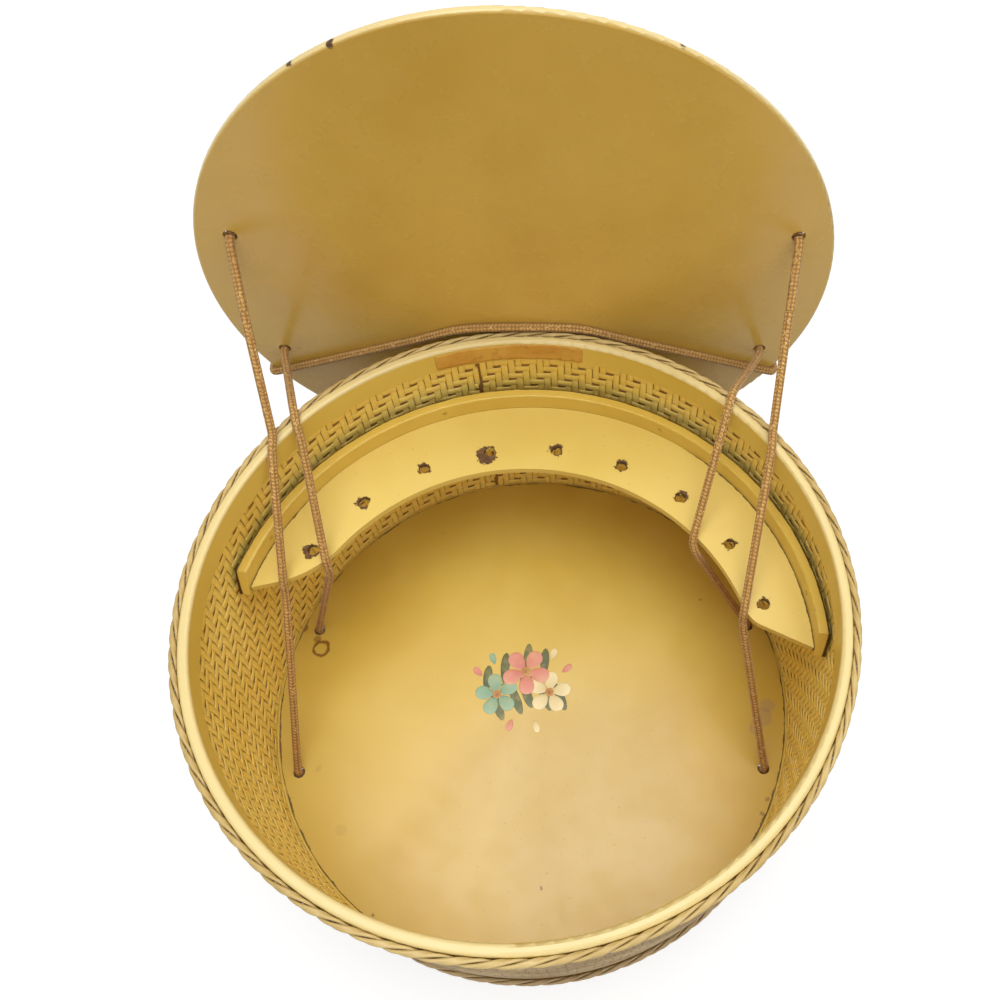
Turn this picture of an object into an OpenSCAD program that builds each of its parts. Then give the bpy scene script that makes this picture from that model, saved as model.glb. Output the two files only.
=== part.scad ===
// Round woven sewing basket with a crescent spool tray and a loose board lid held by two cords.
// Millimetres. The origin is the middle of the foot, on the table. +Z is up, +Y points to the back.

/* [Basket] */
// Radius of the woven wall's inner face at the foot
wall_foot_r = 157.8; // [118:0.1:198]
// How much larger that radius is at the top
wall_flare = 1.8; // [0:0.1:8]
// How far the wall bellies out halfway up
wall_belly = 1.6; // [0:0.1:3]
// Thickness of the woven wall
wall_t = 2.6; // [1.5:0.1:4]
// Height of the rim above the table
rim_h = 164; // [120:1:240]
// Gap between pieces that lie against each other
fit = 0.2; // [0.1:0.05:0.4]

/* [Rim and foot] */
// Thickness of the bent rim hoop
hoop_t = 5.3; // [3:0.1:7]
// Height of the bent rim hoop
hoop_h = 15; // [10:0.5:25]
// Radius of the rounding on the hoop's top edges
hoop_round = 1.8; // [0.5:0.1:2.4]
// Thickness of the twisted rim braid
rim_braid_d = 3.8; // [3:0.1:8]
// Thickness of the twisted foot braid
foot_braid_d = 3.2; // [2:0.1:6]
// Thickness of the hoop inside the foot
base_hoop_t = 3; // [2:0.1:3.6]

/* [Floor] */
// Height of the floor board's upper face
floor_top = 12; // [10:0.5:20]
// Thickness of the floor board
floor_t = 4; // [2.5:0.5:6]
// Gap between the floor board's edge and the woven wall
floor_gap = 0.8; // [0.2:0.1:2]
// Side of the picture that is stuck on the floor board
transfer_w = 72; // [40:1:84]
// Thickness of the picture and of the label paper
paper_t = 0.25; // [0.2:0.05:0.5]
// Place of the picture's middle, to the right of the basket's middle
transfer_x = -5.5; // [-40:0.5:40]
// Place of the picture's middle, to the front of the basket's middle
transfer_front = -6; // [-40:0.5:40]

/* [Tray] */
// Height of the shelf's upper face
shelf_top = 111; // [80:1:130]
// Thickness of the shelf
shelf_t = 4; // [3:0.5:6]
// How far the tray's own middle lies in front of the basket's middle
tray_front = 4.5; // [0:0.1:6]
// How much smaller the tray lip's outer radius is than the woven wall's inner radius there
lip_gap = 0.9; // [0.8:0.1:4]
// Thickness of the tray lip
lip_t = 6; // [3.5:0.1:7]
// Height of the tray lip
lip_h = 15; // [10:0.5:25]
// Rounding of the tray lip's top edges
lip_round = 1; // [0.4:0.1:1.6]
// How much smaller the radius of the shelf's hollow inner edge is than its outer radius
shelf_step = 27.1; // [20:0.1:40]
// Distance of the inner edge's centre in front of the tray's middle
shelf_in_front = 17.9; // [14:0.1:22]
// Distance of the inner edge's centre to the right of the tray's middle
shelf_in_right = 0.4; // [0:0.1:2]
// Distance of the shelf's ends behind the tray's middle, at the lip
shelf_end_y = 13; // [6:0.5:20]
// Slope of the shelf's ends, rising towards the middle
shelf_end_slope = 20; // [10:1:25]
// Rounding of the shelf's left inner corner
shelf_left_corner_r = 56; // [40:1:60]
// Rounding of the shelf's right inner corner
shelf_right_corner_r = 15; // [8:0.5:20]
// Angle by which the tray sits turned in the basket, clockwise from above
tray_turn = 7.3; // [0:0.1:12]
// Number of peg holes
peg_count = 9; // [3:1:9]
// Diameter of a peg hole
peg_hole_d = 6.5; // [4:0.1:8]
// Distance of the middle peg hole from the shelf's inner edge
peg_in = 14.1; // [10:0.1:18]
// Distance of the holes' curve's centre in front of the tray's middle
peg_curve_front = 12.7; // [10:0.1:22]
// Angle between two peg holes on that curve
peg_step = 17; // [10:0.5:17]
// Turn of the whole row of peg holes along that curve, towards the right
peg_turn = 1.1; // [0:0.1:3]

/* [Lid] */
// How far the lid's edge stands out past the rim braid
lid_out = 1.6; // [0:0.1:4]
// Thickness of the lid board
lid_t = 3.8; // [3:0.1:6]
// Rounding of the lid's edge
lid_round = 1.2; // [0.5:0.1:1.4]
// Lean of the open lid from upright, towards the front
lid_lean = 6; // [2:0.5:12]
// Height of the open lid's middle above the rear rim cord, along the lid
lid_lift = 21.7; // [10:0.1:30]
// Turn of the open lid in its own plane
lid_turn = 1.4; // [0:0.1:2]

/* [Cords] */
// Diameter of the two cords
cord_d = 4.6; // [3:0.1:5]
// Diameter of the cord holes
cord_hole_d = 7; // [5.5:0.1:9]
// Distance of the left and right cord holes inside the wall's foot
cord_in = 17.8; // [15:0.1:21]
// Distance of the front cord holes in front of the middle
front_hole_y = 48; // [46:0.5:50]
// Distance of the rear cord holes behind the middle
rear_hole_y = 45; // [43:0.5:47]
// Diameter of the knots under the floor board
knot_d = 10; // [8:0.5:10]

/* [Fasteners] */
// Diameter of a brad's shank
brad_d = 1.2; // [0.8:0.1:1.6]
// Diameter of a brad's head
brad_head_d = 2.8; // [2:0.1:4]
// Thickness of a brad's head
brad_head_t = 0.6; // [0.4:0.1:1]
// Number of brads round the rim
rim_brads = 12; // [6:1:18]
// Number of brads round the foot
foot_brads = 12; // [6:1:18]

/* [Hidden] */
$fn = 96;

PAINT = [0.80, 0.64, 0.27];
PALE_PAINT = [0.86, 0.74, 0.45];
CANE = [0.72, 0.58, 0.27];
CORD = [0.60, 0.42, 0.31];
STEEL = [0.45, 0.42, 0.38];
PAPER = [0.72, 0.44, 0.14];
POSY = [0.86, 0.62, 0.58];

// The rim: the wall's top edge carries the braid, and the hoop lies inside both.
rim_braid_z = rim_h - 0.3 - rim_braid_d / 2;
wall_top = rim_braid_z - rim_braid_d / 2 - 0.1;
// The wall's inner radius at a height, h being that height as a share of the wall's own
function wall_shape(h) = wall_foot_r + wall_flare * h + 4 * wall_belly * h * (1 - h);
function wall_r(z) = wall_shape(z / wall_top);
hoop_r = min(wall_r(rim_h - hoop_h), wall_r(wall_top)) - fit;
rim_braid_r = hoop_r + fit + rim_braid_d / 2;

// The foot
base_hoop_h = floor_top - floor_t - fit;
base_hoop_r = wall_foot_r - fit;
floor_r = wall_r(floor_top - floor_t) - floor_gap;
foot_braid_r = wall_r(foot_braid_d) + wall_t + fit + foot_braid_d / 2;

// The tray
shelf_bottom = shelf_top - shelf_t;
lip_r = wall_r(shelf_bottom) - lip_gap;
shelf_r = lip_r - lip_t - fit;
shelf_in_r = shelf_r - shelf_step;
peg_curve_r = shelf_in_r - shelf_in_front + peg_in + peg_curve_front;
lip_end_top = 6.2;
lip_end_foot = 3.8;

// The open lid. Its inner face lies one cord radius behind the rear rim's cord, round which it tips.
lid_r = rim_braid_r + rim_braid_d / 2 + lid_out;
cord_x = wall_foot_r - cord_in;
cord_r = cord_d / 2;
cord_gap = 0.1;
pivot_y = rim_braid_r + rim_braid_d / 4;
pivot_z = rim_h + cord_r + 0.4;
face_y = cord_r + cord_gap;

// Routes of the cords from the knots to the lid, in the basket's frame
knot_top = floor_top - floor_t - fit;
FRONT_LEFT = [
    [-140, -48, 8], [-140, -48, 15], [-132.2, 27.8, 104], [-131.6, 30, 112],
    [-129.4, 76.6, 161.4], [-129.2, 82, 166.4], [-129.4, 88.8, 167.6], [-136.1, 131, 214.2]
];
FRONT_RIGHT = [
    [140, -48, 8], [140, -48, 15], [118.2, 7, 105], [118, 9.2, 113],
    [130.2, 72.6, 160.4], [131.3, 79.2, 166.3], [132.2, 86.5, 167.6], [138, 131, 208.9]
];
REAR_LEFT = [
    [-140, 45, 8], [-139.6, 45, 15], [-109.4, 40.8, 103], [-109.6, 42.4, 112.6],
    [-116.8, 91.2, 160.4], [-118.9, 97.4, 166.2], [-120.6, 104, 167.2], [-122.6, 110.6, 166.8], [-132.3, 138, 156.2]
];
REAR_RIGHT = [
    [140, 45, 8], [139.4, 45, 15], [96.4, 50, 104.6], [94.2, 53.1, 109.6], [95, 56.4, 114],
    [110.1, 101.6, 162.4], [111.6, 106, 166.6], [113.2, 111, 167.5], [115, 115.4, 166.6], [126.2, 138, 153.8]
];
// Where the last stretch of each cord runs, from the route's end to the lid hole's mouth
FRONT_LEFT_END = [
    [-136.1, 131.4, 214.6], [-137.9, 147, 232.1], [-138.7, 152.8, 238.2], [-138.8, 156.6, 239.4]
];
FRONT_RIGHT_END = [
    [138.1, 131.4, 209.3], [140.1, 147.2, 225.3], [141, 153.4, 231.2], [141.1, 157.3, 232.5]
];
REAR_LEFT_END = [
    [-132.4, 138.4, 156], [-137.8, 153.6, 150.3], [-140.6, 162, 147.4], [-141.1, 166.3, 147.2]
];
REAR_RIGHT_END = [
    [126.4, 138.4, 153.5], [134.2, 154.2, 145.2], [138, 162.4, 141.1], [138.9, 167, 140.4]
];
// The handle loops, as [across, out of the lid's inner face, up], counted from the lid's middle
REAR_HANDLE = [
    [140, 0.2, -45], [140, 4.4, -45.2], [142.4, 6.6, -48.6], [149.6, 6.6, -61.6], [153.4, 5.4, -66.6],
    [153.6, -1.5, -67.2], [149.6, -2.45, -65], [52, -2.45, -30.5], [36, -2.45, -22.2], [0, -2.45, -21.4]
];
FRONT_HANDLE = [
    [140, 0.2, 48], [140, 4.2, 47.8], [139, 6.7, 44], [110, 6.7, -15], [70, 6.7, -50], [0, 6.7, -69]
];

// A round tube swept along hand-set points: the frame of each ring is carried over from the last.
tube_sides = 8;
function unit(v) = v / norm(v);
function heading(p, i) = unit(p[min(i + 1, len(p) - 1)] - p[max(i - 1, 0)]);
function ring_frames(p, i, side) = i == len(p) ? [] :
    let(t = heading(p, i), u = unit(side - t * (side * t)))
    concat([[u, cross(t, u)]], ring_frames(p, i + 1, u));
function first_side(t) = abs(t.x) > 0.8 ? [0, 0, 1] : [1, 0, 0];
module tube(p, d) {
    n = tube_sides;
    r = d / 2;
    frames = ring_frames(p, 0, first_side(heading(p, 0)));
    points = [
        for (i = [0 : len(p) - 1], k = [0 : n - 1])
            p[i] + r * (cos(360 * k / n) * frames[i][0] + sin(360 * k / n) * frames[i][1])
    ];
    sides = [
        for (i = [0 : len(p) - 2], k = [0 : n - 1])
            let(a = i * n + k, b = i * n + (k + 1) % n) [a, a + n, b + n, b]
    ];
    ends = [[for (k = [0 : n - 1]) k], [for (k = [n - 1 : -1 : 0]) (len(p) - 1) * n + k]];
    triangles = [for (q = sides) each [[q[0], q[1], q[2]], [q[0], q[2], q[3]]]];
    polyhedron(points, concat(triangles, ends), convexity = 8);
}
// A loop is written for its right half and mirrored to the left.
function mirrored(p) = concat([for (q = p) [-q.x, q.y, q.z]], [for (i = [len(p) - 2 : -1 : 0]) p[i]]);

// A band of a round shell between two radii and two heights
module ring(r_out, r_in, z0, z1) {
    rotate_extrude() translate([r_in, z0]) square([r_out - r_in, z1 - z0]);
}
module torus(r, z, d) {
    rotate_extrude() translate([r, z]) circle(d = d, $fn = 32);
}

// A brad that points along +X: its head's outer face is at x = 0 and its shank runs inwards.
module brad(length) {
    rotate([0, -90, 0]) {
        cylinder(d = brad_head_d, h = brad_head_t, $fn = 24);
        translate([0, 0, brad_head_t]) cylinder(d = brad_d, h = length - brad_head_t, $fn = 24);
    }
}
module brad_hole(length) {
    rotate([0, -90, 0]) {
        translate([0, 0, -1]) cylinder(d = brad_head_d + fit, h = brad_head_t + 1 + fit / 2, $fn = 24);
        cylinder(d = brad_d + fit, h = length + fit, $fn = 24);
    }
}
// Places of the brads: each carries a brad whose head faces outwards.
rim_brad_z = rim_h - hoop_h * 0.72;
rim_brad_l = wall_t + hoop_t * 0.7;
module at_rim_brads() {
    for (k = [0 : rim_brads - 1]) rotate([0, 0, (k + 0.5) * 360 / rim_brads])
        translate([wall_r(rim_brad_z) + wall_t + brad_head_t, 0, rim_brad_z]) children();
}
foot_brad_z = floor_top - floor_t / 2;
foot_brad_l = wall_t + brad_head_t + 9;
module at_foot_brads() {
    for (k = [0 : foot_brads - 1]) rotate([0, 0, (k + 0.5) * 360 / foot_brads])
        translate([wall_r(foot_brad_z) + wall_t + brad_head_t, 0, foot_brad_z]) children();
}
tray_nail_angles = [16, 66, 116, 164];
tray_nail_z = shelf_top + (lip_h - shelf_t) / 2;
// The tray's gap to the wall is widest at the back, so the nails there are longer.
function tray_nail_l(a) = lip_t + lip_gap + wall_t * 0.8 + tray_front * sin(a - tray_turn);
module tray_frame() {
    translate([0, -tray_front, 0]) rotate([0, 0, -tray_turn]) children();
}
module at_tray_nails() {
    tray_frame() for (a = tray_nail_angles) rotate([0, 0, a])
        translate([lip_r - lip_t - brad_head_t * 0.2, 0, tray_nail_z]) mirror([1, 0, 0]) {
            $nail_l = tray_nail_l(a);
            children();
        }
}
shelf_brad_angles = [10, 36, 62, 90, 118, 144, 170];
shelf_brad_l = lip_t + 8;
module at_shelf_brads() {
    tray_frame() for (a = shelf_brad_angles) rotate([0, 0, a])
        translate([lip_r, 0, shelf_bottom + shelf_t / 2]) children();
}

module at_cord_holes() {
    for (x = [-cord_x, cord_x], y = [-front_hole_y, rear_hole_y]) translate([x, y, 0]) children();
}

module woven_wall() {
    steps = 10;
    inside = [for (k = [0 : steps]) [wall_shape(k / steps), wall_top * k / steps]];
    outside = [for (k = [steps : -1 : 0]) [wall_shape(k / steps) + wall_t, wall_top * k / steps]];
    color(CANE) difference() {
        rotate_extrude() polygon(concat(outside, inside));
        at_rim_brads() brad_hole(rim_brad_l);
        at_foot_brads() brad_hole(foot_brad_l);
        at_tray_nails() brad_hole($nail_l);
    }
}

module rim_hoop() {
    color(PALE_PAINT) difference() {
        rotate_extrude() translate([hoop_r - hoop_t, rim_h - hoop_h]) {
            square([hoop_t, hoop_h - hoop_round]);
            translate([hoop_round, 0]) square([hoop_t - 2 * hoop_round, hoop_h]);
            for (x = [hoop_round, hoop_t - hoop_round])
                translate([x, hoop_h - hoop_round]) circle(r = hoop_round, $fn = 32);
        }
        at_rim_brads() brad_hole(rim_brad_l);
    }
}

module rim_braid() {
    color(PALE_PAINT) torus(rim_braid_r, rim_braid_z, rim_braid_d);
}

module rim_nails() {
    color(STEEL) at_rim_brads() brad(rim_brad_l);
}

module base_hoop() {
    color(PAINT) ring(base_hoop_r, base_hoop_r - base_hoop_t, 0, base_hoop_h);
}

module foot_braid() {
    color(CANE) torus(foot_braid_r, foot_braid_d / 2, foot_braid_d);
}

module floor_board() {
    color(PAINT) difference() {
        translate([0, 0, floor_top - floor_t]) cylinder(r = floor_r, h = floor_t);
        at_cord_holes() cylinder(d = cord_hole_d, h = floor_top + 1);
        at_foot_brads() brad_hole(foot_brad_l);
    }
}

module foot_nails() {
    color(STEEL) at_foot_brads() brad(foot_brad_l);
}

module floor_transfer() {
    color(POSY) translate([transfer_x, -transfer_front, floor_top])
        cylinder(d = transfer_w, h = paper_t);
}

// A strip of paper on the hoop's inner face, at the back
label_from = 77;
label_to = 109;
label_h = 13.5;
module paper_label() {
    r = hoop_r - hoop_t - paper_t - 0.1;
    color(PAPER) translate([0, 0, rim_h - hoop_h + 0.3]) rotate([0, 0, label_from])
        rotate_extrude(angle = label_to - label_from) translate([r, 0]) square([paper_t, label_h]);
}

// The shelf's outline is drawn in the tray's own frame. Each end is a sloped line
// that meets the hollow inner edge in a round corner, whose centre lies on both offsets.
end_dir = [-cos(shelf_end_slope), sin(shelf_end_slope)];
end_up = [sin(shelf_end_slope), cos(shelf_end_slope)];
end_foot = [shelf_r, shelf_end_y];
function along(v) = v * end_dir;
function corner_reach(v, reach) = -along(v) - sqrt(along(v) * along(v) - v * v + reach * reach);
function hollow_centre(side) = [side * shelf_in_right, -shelf_in_front];
function corner_centre(side, r) = let(foot = end_foot + r * end_up)
    foot + corner_reach(foot - hollow_centre(side), shelf_in_r + r) * end_dir;
module shelf_end_cut(side, r) {
    c = corner_centre(side, r);
    on_hollow = c - r * unit(c - hollow_centre(side));
    // The rest of the cut lies in the hollow and outside the shelf
    polygon([
        end_foot - lip_t * 4 * end_dir, c - r * end_up, c, on_hollow,
        [on_hollow.x * 0.7, on_hollow.y], [0, -shelf_in_front * 2],
        [0, -shelf_r * 1.2], [shelf_r * 1.3, -shelf_r * 1.2]
    ]);
}
module shelf_outline() {
    // Each end as [side, corner radius], written for the right side and mirrored for the left
    ends = [[1, shelf_right_corner_r], [-1, shelf_left_corner_r]];
    intersection() {
        circle(r = shelf_r);
        union() {
            difference() {
                circle(r = shelf_r + 1);
                translate(hollow_centre(1)) circle(r = shelf_in_r);
                for (e = ends) mirror([e[0] < 0 ? 1 : 0, 0]) shelf_end_cut(e[0], e[1]);
            }
            for (e = ends) mirror([e[0] < 0 ? 1 : 0, 0])
                translate(corner_centre(e[0], e[1])) circle(r = e[1], $fn = 48);
        }
    }
}
module at_pegs() {
    tray_frame() translate([0, -peg_curve_front, 0])
        for (k = [0 : peg_count - 1]) rotate([0, 0, 90 - peg_turn + (k - (peg_count - 1) / 2) * peg_step])
            translate([peg_curve_r, 0, 0]) children();
}
module tray_shelf() {
    color(PAINT) difference() {
        translate([0, 0, shelf_bottom]) tray_frame() linear_extrude(height = shelf_t) shelf_outline();
        translate([0, 0, shelf_bottom - 1]) at_pegs() cylinder(d = peg_hole_d, h = shelf_t + 2, $fn = 48);
        at_shelf_brads() brad_hole(shelf_brad_l);
    }
}

// The lip's ends are cut slanting: the cut starts lower down at the foot than at the top.
module lip_side(angle_foot, angle_top) {
    far = lip_r + 20;
    rise = lip_h / (sin(angle_top) - sin(angle_foot)) / lip_r;
    translate([0, lip_r * sin(angle_foot), shelf_bottom])
        rotate([-atan(1 / rise), 0, 0]) translate([-far, -far * 2, -far]) cube([2 * far, 2 * far, 2 * far]);
}
module tray_lip() {
    color(PALE_PAINT) difference() {
        tray_frame() difference() {
            rotate_extrude() translate([lip_r - lip_t, shelf_bottom]) {
                square([lip_t, lip_h - lip_round]);
                translate([lip_round, 0]) square([lip_t - 2 * lip_round, lip_h]);
                for (x = [lip_round, lip_t - lip_round])
                    translate([x, lip_h - lip_round]) circle(r = lip_round, $fn = 32);
            }
            lip_side(lip_end_foot, lip_end_top);
        }
        at_tray_nails() brad_hole($nail_l);
        at_shelf_brads() brad_hole(shelf_brad_l);
    }
}
module tray_nails() {
    color(STEEL) at_tray_nails() brad($nail_l);
}
module shelf_brads() {
    color(STEEL) at_shelf_brads() brad(shelf_brad_l);
}

module cord(route) {
    color(CORD) tube(route, cord_d);
}
// A stopper knot that hangs under the floor board, a little flattened
module knot(x, y) {
    h = knot_top - 0.6;
    r = h / 2;
    round_side = [for (a = [-90 : 15 : 90]) [knot_d / 2 - r + r * cos(a), r + r * sin(a)]];
    color(CORD) translate([x, y, 0.6])
        rotate_extrude() polygon(concat([[0, 0]], round_side, [[0, h]]));
}

// The open lid's frame: x across, y out of the inner face, z up along the board
module lid_frame() {
    translate([0, pivot_y, pivot_z]) rotate([lid_lean, 0, 0])
        translate([0, face_y, lid_lift]) rotate([0, lid_turn, 0]) children();
}
module lid_disc() {
    rotate([-90, 0, 0]) rotate_extrude() {
        square([lid_r - lid_round, lid_t]);
        translate([0, lid_round]) square([lid_r, lid_t - 2 * lid_round]);
        for (y = [lid_round, lid_t - lid_round])
            translate([lid_r - lid_round, y]) circle(r = lid_round, $fn = 32);
    }
}
module lid_board() {
    color(PAINT) lid_frame() difference() {
        lid_disc();
        for (x = [-cord_x, cord_x], z = [-rear_hole_y, front_hole_y])
            translate([x, -1, z]) rotate([-90, 0, 0]) cylinder(d = cord_hole_d, h = lid_t + 2);
    }
}
module front_handle_cord() {
    color(CORD) lid_frame() tube(mirrored(FRONT_HANDLE), cord_d);
}
module rear_handle_cord() {
    color(CORD) lid_frame() tube(mirrored(REAR_HANDLE), cord_d);
}

woven_wall();
rim_hoop();
rim_braid();
rim_nails();
base_hoop();
foot_braid();
floor_board();
foot_nails();
floor_transfer();
paper_label();
tray_shelf();
tray_lip();
tray_nails();
shelf_brads();
cord(FRONT_LEFT);  // front_left_cord
cord(FRONT_RIGHT);  // front_right_cord
cord(REAR_LEFT);  // rear_left_cord
cord(REAR_RIGHT);  // rear_right_cord
knot(-cord_x, -front_hole_y);  // front_left_knot
knot(cord_x, -front_hole_y);  // front_right_knot
knot(-cord_x, rear_hole_y);  // rear_left_knot
knot(cord_x, rear_hole_y);  // rear_right_knot
cord(FRONT_LEFT_END);  // front_left_cord_end
cord(FRONT_RIGHT_END);  // front_right_cord_end
cord(REAR_LEFT_END);  // rear_left_cord_end
cord(REAR_RIGHT_END);  // rear_right_cord_end
lid_board();
front_handle_cord();
rear_handle_cord();
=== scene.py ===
"""A round woven sewing basket, open: painted weave, rim braid, spool tray and a loose lid on cords."""
import math

import bpy
import bmesh
import numpy as np
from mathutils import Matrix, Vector


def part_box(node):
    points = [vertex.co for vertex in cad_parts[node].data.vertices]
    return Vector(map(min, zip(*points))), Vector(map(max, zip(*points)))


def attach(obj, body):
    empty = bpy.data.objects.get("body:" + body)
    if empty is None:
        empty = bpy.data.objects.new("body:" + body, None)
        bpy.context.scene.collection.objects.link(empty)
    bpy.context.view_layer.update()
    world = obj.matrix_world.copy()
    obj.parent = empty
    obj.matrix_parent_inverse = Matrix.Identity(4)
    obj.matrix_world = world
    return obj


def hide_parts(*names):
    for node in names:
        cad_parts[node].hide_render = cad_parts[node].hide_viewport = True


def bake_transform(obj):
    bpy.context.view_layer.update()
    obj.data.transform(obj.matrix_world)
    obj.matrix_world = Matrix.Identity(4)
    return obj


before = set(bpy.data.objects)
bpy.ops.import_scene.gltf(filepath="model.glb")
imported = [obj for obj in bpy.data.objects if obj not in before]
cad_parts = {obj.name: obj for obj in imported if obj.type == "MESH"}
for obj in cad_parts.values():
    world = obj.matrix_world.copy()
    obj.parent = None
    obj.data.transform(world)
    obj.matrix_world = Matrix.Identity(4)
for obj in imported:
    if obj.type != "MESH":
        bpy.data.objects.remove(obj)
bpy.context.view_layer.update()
MM = 0.001
TAU = 2 * math.pi

# Camera, at the photograph's angle
LENS = 31.406
LENS_SHIFT = (-0.0691, 0.0401)
CAMERA_PLACE = (0.030853, -0.182169, 0.538875)
CAMERA_TURN = (0.506934, 0.015597, -0.004398)

scene = bpy.context.scene
scene.view_settings.view_transform = "Standard"
camera_data = bpy.data.cameras.new("camera")
camera_data.sensor_width = 36
camera_data.lens = LENS
camera_data.shift_x, camera_data.shift_y = LENS_SHIFT
camera = bpy.data.objects.new("camera", camera_data)
camera.location = CAMERA_PLACE
camera.rotation_euler = CAMERA_TURN
scene.collection.objects.link(camera)
scene.camera = camera

# Sizes shared with the part's source, in millimetres
WALL_FOOT_R = 157.8
WALL_FLARE = 1.8
WALL_BELLY = 1.6
WALL_TOP = 159.8
WALL_MID = 1.3
RIM_BRAID_R, RIM_BRAID_Z = 161.5, 161.8
FOOT_BRAID_R, FOOT_BRAID_Z = 162, 1.6
FLOOR_TOP = 12
FLOOR_R = 157.4
SHELF_TOP = 111
SHELF_R = 153.3
TRAY_CENTRE = (0, -4.5, SHELF_TOP)
LID_LEAN = math.radians(6)
LID_TURN = math.radians(1.4)
PIVOT = Vector((0, 162.45, 166.7))
LID_FACE = 2.4
LID_LIFT = 21.7
LID_MIDDLE = (0, 164.4, 188.8)
LID_R = 165
HOOP_TOP = 162.4
LIP_TOP, LIP_BACK_R = 125.4, 158.2


def wall_r(z):
    """The wall's inner radius at a height: a slight flare with a slight belly."""
    h = z / WALL_TOP
    return WALL_FOOT_R + WALL_FLARE * h + 4 * WALL_BELLY * h * (1 - h)


# Materials: small helpers over shader nodes
class Nodes:
    """Builds one material; each method adds a node and returns its output."""

    def __init__(self, name, roughness=0.5):
        self.material = bpy.data.materials.new(name)
        self.material.use_nodes = True
        self.tree = self.material.node_tree
        self.shader = self.tree.nodes["Principled BSDF"]
        self.shader.inputs["Roughness"].default_value = roughness
        coords = self.tree.nodes.new("ShaderNodeTexCoord")
        self.place = coords.outputs["Object"]

    def put(self, socket, value):
        """Links an output to the socket, or sets its plain value."""
        if hasattr(value, "is_output"):
            self.tree.links.new(value, socket)
        else:
            socket.default_value = value

    def add(self, kind, inputs=(), out=0, **settings):
        node = self.tree.nodes.new("ShaderNode" + kind)
        for key, value in settings.items():
            setattr(node, key, value)
        for key, value in dict(inputs).items():
            self.put(node.inputs[key], value)
        return node.outputs[out]

    def math(self, operation, a, b=0.0, clamp=False):
        return self.add("Math", {0: a, 1: b}, operation=operation, use_clamp=clamp)

    def vector(self, operation, a, b, out=0):
        return self.add("VectorMath", {0: a, 1: b}, out=out, operation=operation)

    def noise(self, scale, detail=4.0, rough=0.55, stretch=None, out=0):
        place = self.place
        if stretch:
            place = self.add("Mapping", {"Vector": place, "Scale": stretch})
        inputs = {"Vector": place, "Scale": scale, "Detail": detail, "Roughness": rough}
        return self.add("TexNoise", inputs, out=out)

    def span(self, value, low, high, to_low=0.0, to_high=1.0):
        """Eases from to_low to to_high as the value goes from low to high, and stays there beyond."""
        inputs = {"Value": value, 1: low, 2: high, 3: to_low, 4: to_high}
        return self.add("MapRange", inputs, interpolation_type="SMOOTHSTEP")

    def mix(self, factor, a, b):
        node = self.tree.nodes.new("ShaderNodeMix")
        node.data_type = "RGBA"
        self.put(node.inputs[0], factor)
        self.put(node.inputs[6], a if hasattr(a, "is_output") else (*a, 1))
        self.put(node.inputs[7], b if hasattr(b, "is_output") else (*b, 1))
        return node.outputs[2]

    def tone(self, name="tone"):
        """A value that the mesh carries at each point."""
        return self.add("Attribute", out=2, attribute_name=name)

    def ragged(self, scale, amount):
        """The place shaken by noise, in millimetres, so that marks get uneven edges."""
        shake = self.vector("SUBTRACT", self.noise(scale, 4, 0.65, out=1), (0.5, 0.5, 0.5))
        return self.vector("ADD", self.place, self.vector("MULTIPLY", shake, (amount * MM,) * 3))

    def gap(self, place, centre):
        """How far a place is from a centre given in millimetres."""
        return self.vector("DISTANCE", place, [c * MM for c in centre], out=1)

    def spot(self, place, centre, radius, soft=0.5):
        """1 near a point and 0 beyond the radius, all in millimetres."""
        near, far = (radius - soft) * MM, (radius + soft) * MM
        return self.span(self.gap(place, centre), near, far, 1.0, 0.0)

    def scaled(self, value, factor):
        return self.math("MULTIPLY", value, factor)

    def finish(self, colour, roughness=None, height=None, bump=0.3, distance=0.0005):
        full = colour if hasattr(colour, "is_output") else (*colour, 1)
        self.put(self.shader.inputs["Base Color"], full)
        if roughness is not None:
            self.put(self.shader.inputs["Roughness"], roughness)
        if height is not None:
            node = self.tree.nodes.new("ShaderNodeBump")
            node.inputs["Strength"].default_value = bump
            node.inputs["Distance"].default_value = distance
            self.put(node.inputs["Height"], height)
            self.put(self.shader.inputs["Normal"], node.outputs[0])
        return self.material


def rgb(r, g, b):
    """A colour given as 0-255 display values, as linear light."""
    return tuple(((c / 255 + 0.055) / 1.055) ** 2.4 for c in (r, g, b))


def enamel(n, light, dark, worn, specks=0.4):
    """Old brushed paint: soft cloudy yellowing, rubbed patches and small dark specks."""
    colour = n.mix(n.span(n.noise(9, 3), 0.35, 0.7), light, dark)
    patches = n.span(n.noise(30, 5, 0.65), 0.6, 0.8)
    colour = n.mix(n.scaled(patches, 0.3), colour, worn)
    dots = n.span(n.noise(420, 2, 0.5), 0.74, 0.78)
    return n.mix(n.scaled(dots, specks), colour, rgb(96, 66, 30))


def brush_marks(n, stretch=(1, 18, 1)):
    return n.math("ADD", n.noise(60, 2, 0.5, stretch=stretch), n.scaled(n.noise(300, 3), 0.5))


def painted_board(name, light, dark, worn, roughness=0.38, specks=0.4, bump=0.06):
    n = Nodes(name)
    rough = n.span(n.noise(45, 4), 0.3, 0.75, roughness - 0.06, roughness + 0.1)
    return n.finish(enamel(n, light, dark, worn, specks), rough, brush_marks(n), bump)


GOLD, DEEP_GOLD, PALE_GOLD = rgb(210, 180, 84), rgb(200, 166, 68), rgb(206, 176, 100)
# The cream is a painted highlight on top edges and rims; the dark brown is real dirt on the floor's edge
# and the tray's joint, and painted shade behind the lip.
RAW_BOARD, DIRT_AND_SHADE_BROWN, HIGHLIGHT_CREAM = rgb(80, 54, 30), rgb(66, 42, 18), rgb(212, 194, 142)
SMUDGE = rgb(156, 128, 112)

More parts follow.
